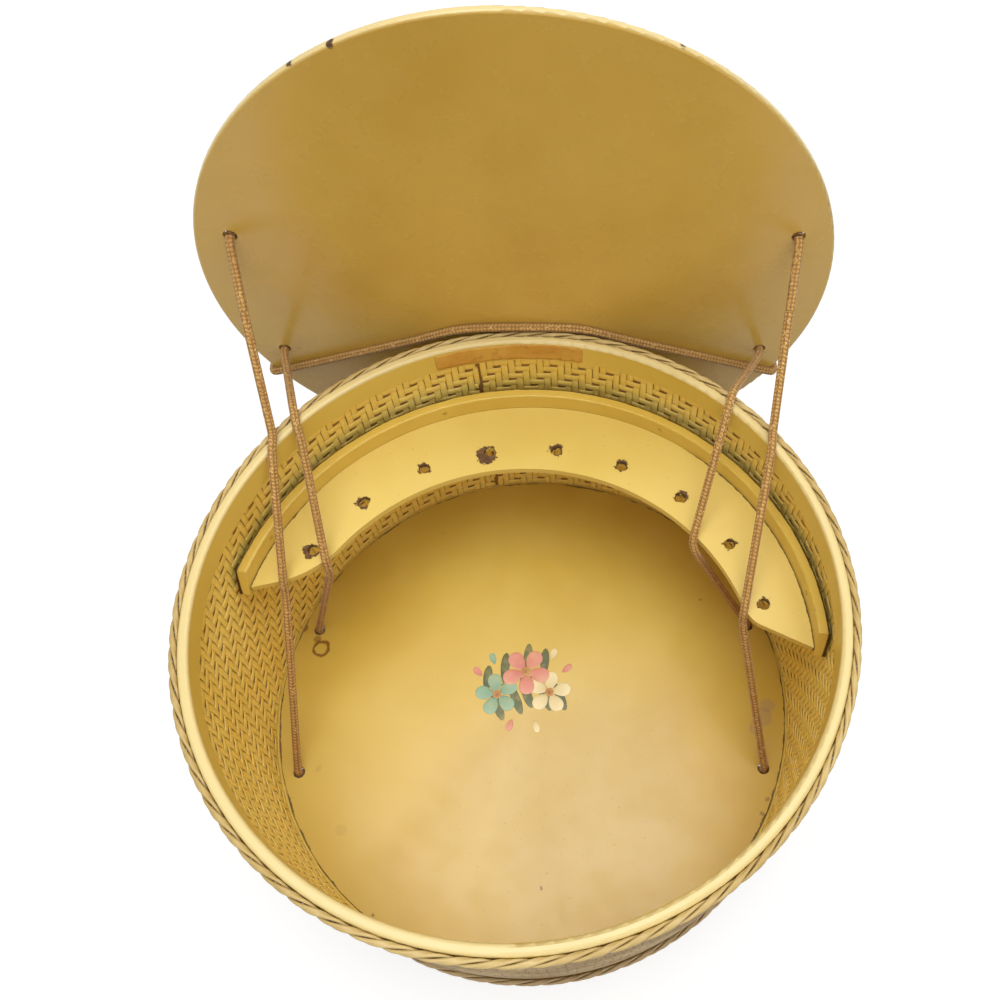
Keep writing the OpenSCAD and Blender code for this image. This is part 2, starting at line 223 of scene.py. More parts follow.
# Wear and stains, in millimetres: centres of the lid's nicks, and x, y and radius of the tray's chips
LID_NICKS = (-62.6, 148.6, 339.6), (-81.5, 149.5, 331), (72.7, 149.2, 334.6)
TRAY_CHIPS = (
    (129.7, 15.2, 3.7), (114.8, 52.2, 3.7), (89.7, 83.3, 3.8), (56.6, 105.3, 4.2), (18, 117, 4.3),
    (-23.4, 114.2, 6.2), (-60.2, 105, 4.1), (-93.6, 82, 4.2), (-119.6, 50.4, 4.8),
)
RING_STAIN = (-137, 32.4, FLOOR_TOP)
PALE_FRONT_PATCH = (25, -75, FLOOR_TOP)

# The floor's spots: x, y, radius, strength and colour
FLOOR_SPOTS = (
    (-151.4, 46.6, 3, 0.7, rgb(120, 76, 34)), (-140.3, 38, 2.4, 0.6, rgb(126, 82, 36)),
    (7, -114.5, 0.9, 0.8, rgb(110, 74, 34)), (-87.4, -128, 1.1, 0.8, rgb(96, 64, 30)),
    (140.7, -66.7, 1.5, 0.6, rgb(124, 86, 46)), (136.2, -75.3, 1.3, 0.6, rgb(124, 86, 46)),
    (-111, -82, 3.5, 0.15, rgb(150, 112, 66)), (-128, -46, 2.2, 0.2, rgb(140, 104, 60)),
    (110.6, 63.9, 1.2, 0.6, rgb(130, 92, 50)), (147, -9, 4.5, 0.35, SMUDGE),
    (143, -16, 6, 0.35, SMUDGE), (138, -24, 5, 0.35, SMUDGE), (-64, 118, 1.1, 0.6, rgb(110, 74, 34)),
)


def floor_paint():
    """The floor's enamel, with its ring stain, glue marks, a paler, greyer patch over the front and dirty
    edge.
    """
    n = Nodes("floor_paint")
    colour = enamel(n, GOLD, DEEP_GOLD, PALE_GOLD)
    loose = n.ragged(60, 8)
    # A paler, greyer patch over the floor's front, with small dark pits in it.
    pale_patch = n.spot(n.ragged(12, 60), PALE_FRONT_PATCH, 75, 45)
    colour = n.mix(n.scaled(pale_patch, 0.35), colour, rgb(204, 186, 140))
    pits = n.math("MULTIPLY", n.span(n.noise(520, 3, 0.6), 0.66, 0.71), pale_patch)
    colour = n.mix(n.scaled(pits, 0.4), colour, rgb(140, 108, 60))
    ring = n.math("SUBTRACT", n.spot(loose, RING_STAIN, 5.6), n.spot(loose, RING_STAIN, 3.8))
    colour = n.mix(n.scaled(ring, 0.85), colour, rgb(112, 64, 26))
    for x, y, radius, strength, ink in FLOOR_SPOTS:
        spot = n.spot(loose, (x, y, FLOOR_TOP), radius)
        colour = n.mix(n.scaled(spot, strength), colour, ink)
    away = n.gap(n.ragged(70, 6), (0, 0, FLOOR_TOP))
    edge = n.span(away, (FLOOR_R - 0.5) * MM, (FLOOR_R - 0.1) * MM)
    colour = n.mix(n.scaled(edge, 0.8), colour, DIRT_AND_SHADE_BROWN)
    rough = n.span(n.noise(45, 4), 0.3, 0.75, 0.28, 0.42)
    return n.finish(colour, rough, brush_marks(n, (18, 1, 1)), 0.05)


def tray_paint():
    """The shelf's enamel, chipped down to raw board round the peg holes and dirty along the lip."""
    n = Nodes("tray_paint")
    colour = enamel(n, rgb(218, 192, 104), rgb(210, 180, 88), rgb(208, 180, 112))
    loose = n.ragged(260, 9)
    chips = 0.0
    for x, y, radius in TRAY_CHIPS:
        chips = n.math("MAXIMUM", chips, n.spot(loose, (x, y, SHELF_TOP), radius, 0.25))
    fibre = n.mix(n.span(n.noise(500, 4, 0.7), 0.35, 0.7), RAW_BOARD, rgb(118, 84, 46))
    colour = n.mix(chips, colour, fibre)
    rim = n.gap(n.ragged(200, 2.4), TRAY_CENTRE)
    joint = n.span(rim, (SHELF_R - 0.7) * MM, (SHELF_R - 0.25) * MM)
    x = n.math("ABSOLUTE", n.math("SUBTRACT", n.add("SeparateXYZ", {0: n.place}), -0.012))
    joint = n.math("MULTIPLY", joint, n.span(x, 0.1, 0.12))
    colour = n.mix(n.scaled(joint, 0.9), colour, DIRT_AND_SHADE_BROWN)
    height = n.math("SUBTRACT", n.scaled(brush_marks(n), 0.12), n.scaled(chips, 1.0))
    rough = n.span(n.noise(45, 4), 0.3, 0.75, 0.3, 0.45)
    rough = n.math("ADD", rough, n.scaled(chips, 0.4), clamp=True)
    return n.finish(colour, rough, height, 0.6, 0.0006)


def painted_trim(name, top, shaded_from=None):
    """Gold enamel on a bent strip, with a painted cream highlight along its top edge and, when a radius for
    it is given, painted dark shade along its back.
    """
    n = Nodes(name)
    colour = enamel(n, rgb(218, 186, 86), rgb(208, 174, 72), PALE_GOLD)
    height = n.vector("DOT_PRODUCT", n.ragged(40, 2), (0, 0, 1), out=1)
    # Painted highlight: cream along the top edge, where light falls on it.
    colour = n.mix(n.span(height, (top - 0.7) * MM, (top + 0.5) * MM, 0, 0.75), colour, HIGHLIGHT_CREAM)
    # Painted shade: dark brown along the back, in the gap behind the lip.
    if shaded_from:
        back = n.gap(n.ragged(80, 1.5), (*TRAY_CENTRE[:2], top))
        colour = n.mix(n.span(back, shaded_from * MM, (shaded_from + 0.6) * MM), colour, DIRT_AND_SHADE_BROWN)
    rough = n.span(n.noise(45, 4), 0.3, 0.75, 0.32, 0.46)
    return n.finish(colour, rough, brush_marks(n), 0.05)


def worn_lid_paint():
    """The lid's smooth gold enamel, with a painted cream highlight along the edge and a few nicks down to
    the board.
    """
    n = Nodes("lid_paint")
    colour = enamel(n, rgb(208, 170, 80), rgb(198, 158, 68), rgb(198, 162, 88), 0.25)
    # Painted highlight: cream round the lid's rim.
    edge = n.span(n.gap(n.ragged(60, 1), LID_MIDDLE), (LID_R - 1) * MM, (LID_R - 0.1) * MM)
    colour = n.mix(n.scaled(edge, 0.8), colour, HIGHLIGHT_CREAM)
    loose = n.ragged(150, 5)
    for spot in LID_NICKS:
        colour = n.mix(n.spot(loose, spot, 1.7), colour, RAW_BOARD)
    return n.finish(colour, n.span(n.noise(45, 4), 0.3, 0.75, 0.2, 0.34), brush_marks(n), 0.03)


def painted_weave(name, light, dark, groove, outside=None, gloss=0.26):
    """Paint over flat cane: clean on the faces, painted shade and old brown dirt down in the gaps, bare and
    grey outside.
    """
    n = Nodes(name)
    colour = n.mix(n.span(n.noise(14, 3), 0.35, 0.7), light, dark)
    colour = n.mix(n.scaled(n.tone("strip"), 0.35), colour, dark)
    if outside:
        bare = n.mix(n.span(n.noise(30, 4), 0.35, 0.65), outside, rgb(156, 130, 90))
        colour = n.mix(n.span(n.tone("inside"), 0.35, 0.65), bare, colour)
    fibre = n.noise(500, 2, 0.5)
    height = n.math("ADD", n.scaled(fibre, 0.35), n.noise(140, 4))
    # Painted shade and old dirt: the groove colour towards the strips' edges and where they dip under each
    # other.
    shade_and_dirt = n.math("ADD", n.tone(), n.scaled(n.noise(90, 4), 0.35))
    colour = n.mix(n.span(shade_and_dirt, 0.3, 0.78), groove, colour)
    rough = n.span(n.noise(60, 3), 0.3, 0.7, gloss, gloss + 0.14)
    if outside:
        rough = n.math("ADD", rough, n.scaled(n.span(n.tone("inside"), 0.35, 0.65, 1, 0), 0.5))
    return n.finish(colour, rough, height, 0.2)


def cord_material():
    """Golden brown cotton yarn, lighter on one set of strands and darker down between them."""
    n = Nodes("cord_yarn", 0.8)
    colour = n.mix(n.tone("strand"), rgb(140, 98, 42), rgb(198, 152, 80))
    colour = n.mix(n.span(n.noise(700, 2), 0.55, 0.7), colour, rgb(222, 186, 118))
    # Darker down between the yarns, where their height is low.
    colour = n.mix(n.span(n.tone(), 0.15, 0.75), rgb(70, 44, 16), colour)
    colour = n.mix(n.scaled(n.span(n.noise(25, 3), 0.4, 0.7), 0.35), colour, rgb(146, 102, 48))
    n.shader.inputs["Sheen Weight"].default_value = 0.2
    n.shader.inputs["Sheen Roughness"].default_value = 0.5
    return n.finish(colour, None, n.noise(1500, 2), 0.3, 0.0002)


def brad_material(name, paint):
    """Small nail heads, painted or dulled with the rest and rusting through here and there."""
    n = Nodes(name, 0.42)
    rust = n.span(n.noise(500, 4, 0.7), 0.5, 0.66)
    colour = n.mix(n.scaled(rust, 0.8), paint, rgb(104, 68, 34))
    return n.finish(colour, None, n.noise(900, 2), 0.2, 0.0002)


def paper_material():
    """Blank paper, browned and blotched with age."""
    n = Nodes("aged_paper", 0.62)
    colour = n.mix(n.span(n.noise(60, 5, 0.6), 0.3, 0.72), rgb(206, 158, 66), rgb(192, 136, 48))
    colour = n.mix(n.scaled(n.span(n.noise(240, 3), 0.55, 0.75), 0.5), colour, rgb(150, 96, 40))
    return n.finish(colour, None, n.noise(900, 3), 0.2, 0.0002)


def ink_material():
    """A slide transfer's faded inks, rubbed through to the paint in small spots."""
    n = Nodes("transfer_ink", 0.36)
    ink = n.add("CombineColor", {k: n.tone("ink_%d" % k) for k in range(3)})
    faded = n.scaled(n.span(n.noise(120, 4), 0.4, 0.7), 0.3)
    colour = n.mix(faded, ink, rgb(214, 184, 118))
    worn = n.span(n.noise(900, 3, 0.6), 0.66, 0.74)
    return n.finish(n.mix(n.scaled(worn, 0.7), colour, GOLD), None, n.noise(300, 3), 0.05)


lid_paint = worn_lid_paint()
trim_paint = painted_trim("hoop_paint", HOOP_TOP)
# The lip gets painted shade along its back, beyond LIP_BACK_R.
lip_paint = painted_trim("lip_paint", LIP_TOP, LIP_BACK_R)
base_paint = painted_board(
    "base_paint", light=rgb(176, 146, 92), dark=rgb(160, 128, 76), worn=rgb(150, 122, 80), roughness=0.55,
)
# Dark brown for the sheet and rings behind the weave: painted shade where the gaps show through.
gap_shade_paint = painted_board(
    "gap_shade_paint", light=rgb(160, 118, 52), dark=rgb(138, 98, 42), worn=rgb(124, 88, 42), roughness=0.8,
)
weave_paint = painted_weave(
    "weave_paint", light=rgb(250, 222, 122), dark=rgb(240, 206, 98), groove=rgb(164, 118, 48),
    outside=rgb(184, 160, 118), gloss=0.2,
)
braid_paint = painted_weave(
    "braid_paint", light=rgb(194, 168, 108), dark=rgb(176, 148, 86), groove=rgb(84, 56, 26), gloss=0.4,
)
foot_cane = painted_weave(
    "foot_cane", light=rgb(178, 152, 110), dark=rgb(160, 134, 94), groove=rgb(62, 44, 26), gloss=0.7,
)
cord_yarn = cord_material()
brads = brad_material("painted_brads", DEEP_GOLD)
bare_brads = brad_material("bare_brads", rgb(134, 114, 84))


# Mesh building
class Shape:
    """Collects rings of points into one mesh, with values for each point."""

    def __init__(self):
        self.points, self.faces, self.values, self.count = [], [], {}, 0

    def rings(self, points, loop=False, **values):
        """points: rings x sides x 3, in millimetres. Each value is a number or a rings x sides array."""
        n, k, _ = points.shape
        index = self.count + np.arange(n * k).reshape(n, k)
        a = index if loop else index[:-1]
        b = np.roll(index, -1, 0) if loop else index[1:]
        quads = np.stack([a, np.roll(a, -1, 1), np.roll(b, -1, 1), b], -1).reshape(-1, 4)
        self.faces += quads.tolist()
        if not loop:
            self.faces += [index[0][::-1].tolist(), index[-1].tolist()]
        self.points.append(points.reshape(-1, 3) * MM)
        for key, value in values.items():
            full = np.broadcast_to(np.asarray(value, float), (n, k)).reshape(-1)
            self.values.setdefault(key, []).append(full)
        self.count += n * k

    def make(self, name, material):
        mesh = bpy.data.meshes.new(name)
        mesh.from_pydata(np.concatenate(self.points), [], self.faces)
        for key, parts in self.values.items():
            layer = mesh.attributes.new(key, "FLOAT", "POINT")
            layer.data.foreach_set("value", np.concatenate(parts).astype(np.float32))
        b = bmesh.new()
        b.from_mesh(mesh)
        bmesh.ops.recalc_face_normals(b, faces=b.faces)
        b.to_mesh(mesh)
        b.free()
        mesh.shade_smooth()
        mesh.materials.append(material)
        piece = bpy.data.objects.new(name, mesh)
        scene.collection.objects.link(piece)
        return piece


def polar(radius, angle, z):
    """Points on rings round the basket; the arguments broadcast against each other."""
    radius, angle, z = np.broadcast_arrays(radius, angle, z)
    return np.stack([radius * np.cos(angle), radius * np.sin(angle), z], -1)


def fit_in(piece, node, body="basket"):
    """The piece takes the CAD node's place on its body."""
    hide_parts(node)
    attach(piece, body)


# Cords: routes as in the part's source, in millimetres; the handles' in the open lid's own frame
FRONT_LEFT = [
    [-140, -48, 8], [-140, -48, 15], [-132.2, 27.8, 104], [-131.6, 30, 112],
    [-129.4, 76.6, 161.4], [-129.2, 82, 166.4], [-129.4, 88.8, 167.6], [-136.1, 131, 214.2],
]
FRONT_RIGHT = [
    [140, -48, 8], [140, -48, 15], [118.2, 7, 105], [118, 9.2, 113],
    [130.2, 72.6, 160.4], [131.3, 79.2, 166.3], [132.2, 86.5, 167.6], [138, 131, 208.9],
]
REAR_LEFT = [
    [-140, 45, 8], [-139.6, 45, 15], [-109.4, 40.8, 103], [-109.6, 42.4, 112.6], [-116.8, 91.2, 160.4],
    [-118.9, 97.4, 166.2], [-120.6, 104, 167.2], [-122.6, 110.6, 166.8], [-132.3, 138, 156.2],
]
REAR_RIGHT = [
    [140, 45, 8], [139.4, 45, 15], [96.4, 50, 104.6], [94.2, 53.1, 109.6], [95, 56.4, 114],
    [110.1, 101.6, 162.4], [111.6, 106, 166.6], [113.2, 111, 167.5], [115, 115.4, 166.6],
    [126.2, 138, 153.8],
]
FRONT_LEFT_END = [
    [-136.1, 131.4, 214.6], [-137.9, 147, 232.1], [-138.7, 152.8, 238.2], [-138.8, 156.6, 239.4],
]
FRONT_RIGHT_END = [
    [138.1, 131.4, 209.3], [140.1, 147.2, 225.3], [141, 153.4, 231.2], [141.1, 157.3, 232.5],
]
REAR_LEFT_END = [
    [-132.4, 138.4, 156], [-137.8, 153.6, 150.3], [-140.6, 162, 147.4], [-141.1, 166.3, 147.2],
]
REAR_RIGHT_END = [
    [126.4, 138.4, 153.5], [134.2, 154.2, 145.2], [138, 162.4, 141.1], [138.9, 167, 140.4],
]
REAR_HANDLE = [
    [140, 0.2, -45], [140, 4.4, -45.2], [142.4, 6.6, -48.6], [149.6, 6.6, -61.6], [153.4, 5.4, -66.6],
    [153.6, -1.5, -67.2], [149.6, -2.45, -65], [52, -2.45, -30.5], [36, -2.45, -22.2], [0, -2.45, -21.4],
]
FRONT_HANDLE = [
    [140, 0.2, 48], [140, 4.2, 47.8], [139, 6.7, 44], [110, 6.7, -15], [70, 6.7, -50], [0, 6.7, -69],
]

# Each cord's route from the floor, the point on it that lies on the rim, and its last stretch to the lid
CORDS = {
    "front_left": (FRONT_LEFT, 6, FRONT_LEFT_END), "front_right": (FRONT_RIGHT, 6, FRONT_RIGHT_END),
    "rear_left": (REAR_LEFT, 7, REAR_LEFT_END), "rear_right": (REAR_RIGHT, 8, REAR_RIGHT_END),
}

# Each handle's route, and how slack its middle hangs
HANDLES = {"front_handle_cord": (FRONT_HANDLE, 18), "rear_handle_cord": (REAR_HANDLE, 10)}
SLACK_FROM = 125
SLACK_FADE = 30
CORD_D = 4.6
KNOT_YARN_D = 3.5
CORD_SIDES = 32
CORD_STEP = 0.4
BRAID_LAY = 12.0
BRAID_PAIRS = 6


def on_lid(p):
    """A point of the open lid's own frame: across, out of the inner face, up along the board."""
    x = p[0] * math.cos(LID_TURN) + p[2] * math.sin(LID_TURN)
    up = -p[0] * math.sin(LID_TURN) + p[2] * math.cos(LID_TURN) + LID_LIFT
    out = p[1] + LID_FACE
    y = PIVOT.y + out * math.cos(LID_LEAN) - up * math.sin(LID_LEAN)
    z = PIVOT.z + out * math.sin(LID_LEAN) + up * math.cos(LID_LEAN)
    return [x, y, z]


def both_halves(route):
    """A handle's whole route from its right half, which ends in the middle."""
    return [[-x, y, z] for x, y, z in route] + route[-2::-1]


def smooth_line(route, step=CORD_STEP, soften=2.0):
    """The route as evenly spaced points, with its corners rounded off."""
    p = np.array(route, float)
    along = np.concatenate([[0], np.cumsum(np.linalg.norm(np.diff(p, axis=0), axis=1))])
    count = int(along[-1] / step) + 1
    places = np.linspace(0, along[-1], count)
    even = np.stack([np.interp(places, along, p[:, i]) for i in range(3)], -1)
    reach = int(3 * soften / step)
    kernel = np.exp(-0.5 * (np.arange(-reach, reach + 1) * step / soften) ** 2)
    kernel /= kernel.sum()
    before = 2 * even[0] - even[reach:0:-1]
    after = 2 * even[-1] - even[-2:-reach - 2:-1]
    padded = np.concatenate([before, even, after])
    line = np.stack([np.convolve(padded[:, i], kernel, "valid") for i in range(3)], -1)
    line[0], line[-1] = even[0], even[-1]
    return line


def carried_frames(line):
    """Two directions square to the line at each point, carried along without twist."""
    t = np.gradient(line, axis=0)
    t /= np.linalg.norm(t, axis=1)[:, None]
    u = np.empty_like(t)
    u[0] = np.cross(t[0], (0, 0, 1) if abs(t[0][2]) < 0.9 else (1, 0, 0))
    for i in range(1, len(t)):
        u[i] = u[i - 1] - t[i] * (u[i - 1] @ t[i])
        u[i] /= np.linalg.norm(u[i])
    u[0] /= np.linalg.norm(u[0])
    return u, np.cross(t, u)


def round_top(across):
    """A yarn's height from edge to edge, as a half circle."""
    return np.sqrt(np.clip(1 - (2 * across - 1) ** 2, 0, 1))


def braided_cord(name, line, diameter=CORD_D, loop=False):
    """A round braid of twelve yarns: six run each way, over and under each other."""
    u, v = carried_frames(line)
    turn = np.arange(CORD_SIDES) / CORD_SIDES
    along = np.arange(len(line))[:, None] * CORD_STEP / BRAID_LAY * BRAID_PAIRS
    one, other = along + turn * BRAID_PAIRS, along - turn * BRAID_PAIRS
    on_top = (np.floor(one) + np.floor(other)) % 2 == 0
    hump = round_top(np.where(on_top, one, other) % 1)
    other_hump = round_top(np.where(on_top, other, one) % 1)
    height = hump * (0.55 + 0.45 * other_hump)
    radius = diameter / 2 * (0.87 + 0.13 * height)
    angle = TAU * turn
    points = line[:, None] + radius[..., None] * (
        np.cos(angle)[:, None] * u[:, None] + np.sin(angle)[:, None] * v[:, None]
    )
    shape = Shape()
    shape.rings(points, loop=loop, tone=height, strand=on_top * 1.0)
    return shape.make(name, cord_yarn)


def hanging_line(route, soften):
    """A handle's line: firm where it comes out of the lid, slack in its middle stretch."""
    near, slack = smooth_line(route), smooth_line(route, soften=soften)
    share = np.clip((SLACK_FROM - np.abs(near[:, 0])) / SLACK_FADE, 0, 1)[:, None]
    return near + (slack - near) * share * share * (3 - 2 * share)


def cord_piece(node, line):
    """One stretch of cord in its CAD node's place, with its line in metres."""
    piece = braided_cord(node + "_braid", line)
    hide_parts(node)
    return piece, line * MM


def tied_knot(node, x, y, z):
    """A tight overhand knot under the floor."""
    t = np.linspace(0, TAU, 76)[:-1]
    line = np.stack([
        x + 1.05 * (np.sin(t) + 2 * np.sin(2 * t)), y + 1.05 * (np.cos(t) - 2 * np.cos(2 * t)),
        z - 1.7 * np.sin(3 * t),
    ], -1)
    fit_in(braided_cord(node + "_tied", line, KNOT_YARN_D, loop=True), node)


for side, (route, contact, end_route) in CORDS.items():
    cord, line = cord_piece(side + "_cord", smooth_line(route))
    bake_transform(cord)
    tail, line = cord_piece(side + "_cord_end", smooth_line(end_route))
    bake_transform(tail)
    low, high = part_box(side + "_knot")
    tied_knot(side + "_knot", *[(a + b) / 2 / MM for a, b in zip(low, high)])
for node, (route, soften) in HANDLES.items():
    whole = [on_lid(p) for p in both_halves(route)]
    loop, line = cord_piece(node, hanging_line(whole, soften))
    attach(loop, "lid")

# The woven wall: flat cane in a two-over, two-under twill
STRIPS = 240
FIRST_STRIP = 1.45
FIRST_ROW_Z = 0.45
ROW = 6.3
ROWS = 26
SEAM = math.radians(99.95)
SEAM_HALF = math.radians(0.17)
SEAM_STRIP = 66
CANE_T = 0.62
SWING = 0.33
UPRIGHT_W = 4.06
ROW_W = 4.5
BEVEL = 0.5

# For each corner of a strip's section: 1 on the basket's inside, and how free it is of the painted shade
# and dirt at the edges
FACES = np.array([0.5, 1, 1, 0.5, 0, 0])
EDGES = np.array([0.76, 1, 1, 0.76, 1, 1])

# Inner radius, outer radius and height of the dark rings that close the gaps at the hoop, the foot and the
# floor, as painted shade
CLOSING_RINGS = (159.5, 161.6, 158.7), (159.0, 162.2, 0.2), (FLOOR_R + 0.1, 159.8, 9.2)
CORNER_PAINT_Z = 11.1


def strip_over(i, j):
    """True where upright strip i lies inside row j."""
    return (i + j) % 4 > 1


def cane_section(width):
    """A flat strip's outline as (across, inwards) pairs, its edges worn round."""
    half, t = width / 2, CANE_T / 2
    flat = half - BEVEL
    return np.array([[-half, 0], [-flat, t], [flat, t], [half, 0], [flat, -t], [-flat, -t]])


def swings(side, closed):
    """The strip's place from outside (-1) to inside (1), three points for each crossing."""
    after = np.roll(side, -1)
    if not closed:
        after[-1] = side[-1]
    return np.stack([side, side + (after - side) * 0.22, side + (after - side) * 0.78], -1).reshape(-1)


def add_upright(shape, i, rng):
    rows = np.arange(ROWS)
    inward = swings(np.where(strip_over(i, rows), 1.0, -1.0), False)
    z = FIRST_ROW_Z + ROW / 3 * np.arange(3 * ROWS)
    keep = z < WALL_TOP - 0.3
    z, inward = np.append(z[keep], WALL_TOP - 0.1), np.append(inward[keep], inward[keep][-1])
    angle, width = math.radians(FIRST_STRIP + 1.5 * i), UPRIGHT_W + rng.normal(0, 0.05)
    if i == SEAM_STRIP:
        angle, width = angle + math.radians(0.14), width - 0.8
    section = cane_section(width)
    r = wall_r(z)[:, None] + WALL_MID - SWING * inward[:, None] - section[:, 1]
    a = angle + rng.normal(0, 0.0004) + section[:, 0] / r
    # Tone drops at the edges and where the strip dips: painted shade and dirt there.
    tone = (0.8 + 0.2 * np.abs(inward))[:, None] * EDGES
    shape.rings(polar(r, a, z[:, None]), tone=tone, inside=FACES, strip=rng.uniform(0, 1))


def add_row(shape, j, rng):
    bottom = max(FIRST_ROW_Z + ROW * j - ROW_W / 2, 0.3)
    top = min(FIRST_ROW_Z + ROW * j + ROW_W / 2, WALL_TOP - 0.1)
    if top - bottom < 1.4:
        return
    inward = swings(np.where(strip_over(np.arange(STRIPS), j), -1.0, 1.0), True)
    angles = np.radians(FIRST_STRIP + 0.5 * np.arange(3 * STRIPS))
    past_seam = (angles - SEAM) % TAU
    order = np.argsort(past_seam)
    order = order[(past_seam[order] > SEAM_HALF) & (past_seam[order] < TAU - SEAM_HALF)]
    angle, swing = angles[order, None], inward[order, None]
    section = cane_section(top - bottom + rng.normal(0, 0.06))
    z = (bottom + top) / 2 + section[:, 0] + 0.1 * np.sin(angle * 9 + rng.uniform(0, 6))
    r = wall_r(np.clip(z, 0, WALL_TOP)) + WALL_MID - SWING * swing - section[:, 1]
    # Tone drops at the edges and where the row dips: painted shade and dirt there.
    tone = (0.6 + 0.4 * np.abs(swing)) * EDGES
    shape.rings(polar(r, angle, z), tone=tone, inside=FACES, strip=rng.uniform(0, 1))


def flat_ring(inner, outer, low, angle):
    """A thin flat ring, 0.3 mm thick, that closes a gap against light from below."""
    inner = inner + 0 * angle
    radius = np.concatenate([inner, outer + 0 * angle, outer + 0 * angle, inner], 1)
    return polar(radius, angle, low + np.array([0, 0, 0.3, 0.3]))


def woven_wall():
    """All strips as one piece, with a dark sheet of painted shade behind them and the paint in the floor's
    corner.
    """
    rng = np.random.default_rng(4)
    shape = Shape()
    for i in range(STRIPS):
        add_upright(shape, i, rng)
    for j in range(ROWS):
        add_row(shape, j, rng)
    fit_in(shape.make("cane_weave", weave_paint), "woven_wall")
    # A dark sheet between the strips' two layers, and dark rings over the gaps at the hoop, foot and floor:
    # painted shade seen through the gaps.
    lining = Shape()
    angle = np.radians(np.arange(0, 360, 1.5))[:, None]
    z = np.concatenate([np.linspace(0.5, 158, 12), np.linspace(158, 0.5, 12)])
    lining.rings(polar(wall_r(z) + WALL_MID + np.repeat([-0.04, 0.04], 12), angle, z), loop=True)
    for inner, outer, low in CLOSING_RINGS:
        lining.rings(flat_ring(inner, outer, low, angle), loop=True)
    fillet = Shape()
    wavy = FLOOR_R + 0.4 + 0.25 * np.sin(angle * 37) * np.sin(angle * 11)
    fillet.rings(flat_ring(wavy, 159.9, CORNER_PAINT_Z, angle), loop=True)
    for gap in (lining.make("painted_shade_in_gaps", gap_shade_paint), fillet.make("paint_in_floor_corner", trim_paint)):
        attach(gap, "basket")


BRAID_TURNS = 34


def twisted_braid(name, node, material, radius, z, offset, half_thick, half_wide, phase, seed):
    """Two flat canes twisted round each other along a ring."""
    rng = np.random.default_rng(seed)
    shape = Shape()
    sides = 14
    n = BRAID_TURNS * 18
    ring = np.arange(n) / n * TAU
    waver = sum(rng.normal(0, 0.05) * np.sin(k * ring + rng.uniform(0, 6)) for k in (7, 13, 22, 31))
    around = np.arange(sides) / sides * TAU
    for strand in (0, 1):
        theta = (BRAID_TURNS * ring + phase + waver + strand * math.pi)[:, None]
        swell = 1 + 0.05 * np.sin(ring * 17 + strand * 2.1)[:, None]
        thick = offset + half_thick * np.sign(np.cos(around)) * np.abs(np.cos(around)) ** 0.7
        wide = half_wide * np.sign(np.sin(around)) * np.abs(np.sin(around)) ** 0.8 * swell
        out = thick * np.cos(theta) - wide * np.sin(theta)
        up = thick * np.sin(theta) + wide * np.cos(theta)
        # Tone is low on each strand's side towards the other strand, where the material paints shade and
        # dirt.
        tone = 0.25 + 0.75 * np.clip(thick / (offset + half_thick) * 1.6, 0, 1)
        points = polar(radius + out, ring[:, None], np.maximum(z + up, 0.05))
        shape.rings(points, loop=True, tone=tone, strip=strand * 0.4)
    fit_in(shape.make(name, material), node)


woven_wall()
twisted_braid(
    "rim_twist", "rim_braid", braid_paint, RIM_BRAID_R, RIM_BRAID_Z,
    offset=0.95, half_thick=0.9, half_wide=1.42, phase=2.52, seed=1,
)
twisted_braid(
    "foot_twist", "foot_braid", foot_cane, FOOT_BRAID_R, FOOT_BRAID_Z,
    offset=0.8, half_thick=0.76, half_wide=1.2, phase=0.0, seed=2,
)


# Paper and print
LABEL_ANGLES = 77.3, 108.7
LABEL_R = 153.87
LABEL_LOW, LABEL_HIGH = 149.9, 162.2


def torn_label():
    """A blank strip of aged paper, pasted inside the hoop and torn along its edges."""
    rng = np.random.default_rng(9)
    n, rows = 160, 9
    angle = np.radians(np.linspace(*LABEL_ANGLES, n))
    tears = [np.convolve(rng.normal(0, 1, n + 8), np.ones(9) / 9, "valid") * 0.9 for _ in (0, 1)]
    low, high = LABEL_LOW + np.abs(tears[0]), LABEL_HIGH - np.abs(tears[1])
    ends = np.clip(np.minimum(np.arange(n), np.arange(n)[::-1]) / 3, 0, 1) ** 0.5
    middle, half = (low + high) / 2, (high - low) / 2 * (0.8 + 0.2 * ends)
    up = np.concatenate([np.linspace(-1, 1, rows), np.linspace(1, -1, rows)])
    r = LABEL_R + np.repeat([-0.1, 0.1], rows) + 0.02 * np.sin(up * 7)
    shape = Shape()
    shape.rings(polar(r, angle[:, None], middle[:, None] + half[:, None] * up))
    fit_in(shape.make("torn_label", paper_material()), "paper_label")


PETAL_SIDES = 24


def blade(shape, root, heading, length, width, z, ink, tip, blunt=1.0):
    """One petal or leaf: a thin crowned oval from its root outwards, its colour fading to its tip's."""
    t = np.linspace(0, TAU, PETAL_SIDES + 1)[:-1]
    along = (1 - np.cos(t)) / 2
    across = np.sin(t) * width / 2 * along ** (0.35 * blunt) * (1.25 - 0.25 * along)
    c, s = math.cos(heading), math.sin(heading)
    rings = []
    for scale, lift in ((1, 0), (0.97, 0.04), (0.6, 0.07), (0.1, 0.08)):
        a, b = 0.5 + (along - 0.5) * scale, across * scale
        x, y = root[0] + a * length * c - b * s, root[1] + a * length * s + b * c
        rings.append(np.stack([x, y, np.full(PETAL_SIDES, z + lift)], -1))
    fade = np.array([0.5 + (along - 0.5) * k for k in (1, 0.97, 0.6, 0.1)])
    inks = {"ink_%d" % k: ink[k] + (tip[k] - ink[k]) * fade for k in range(3)}
    shape.rings(np.array(rings), **inks)


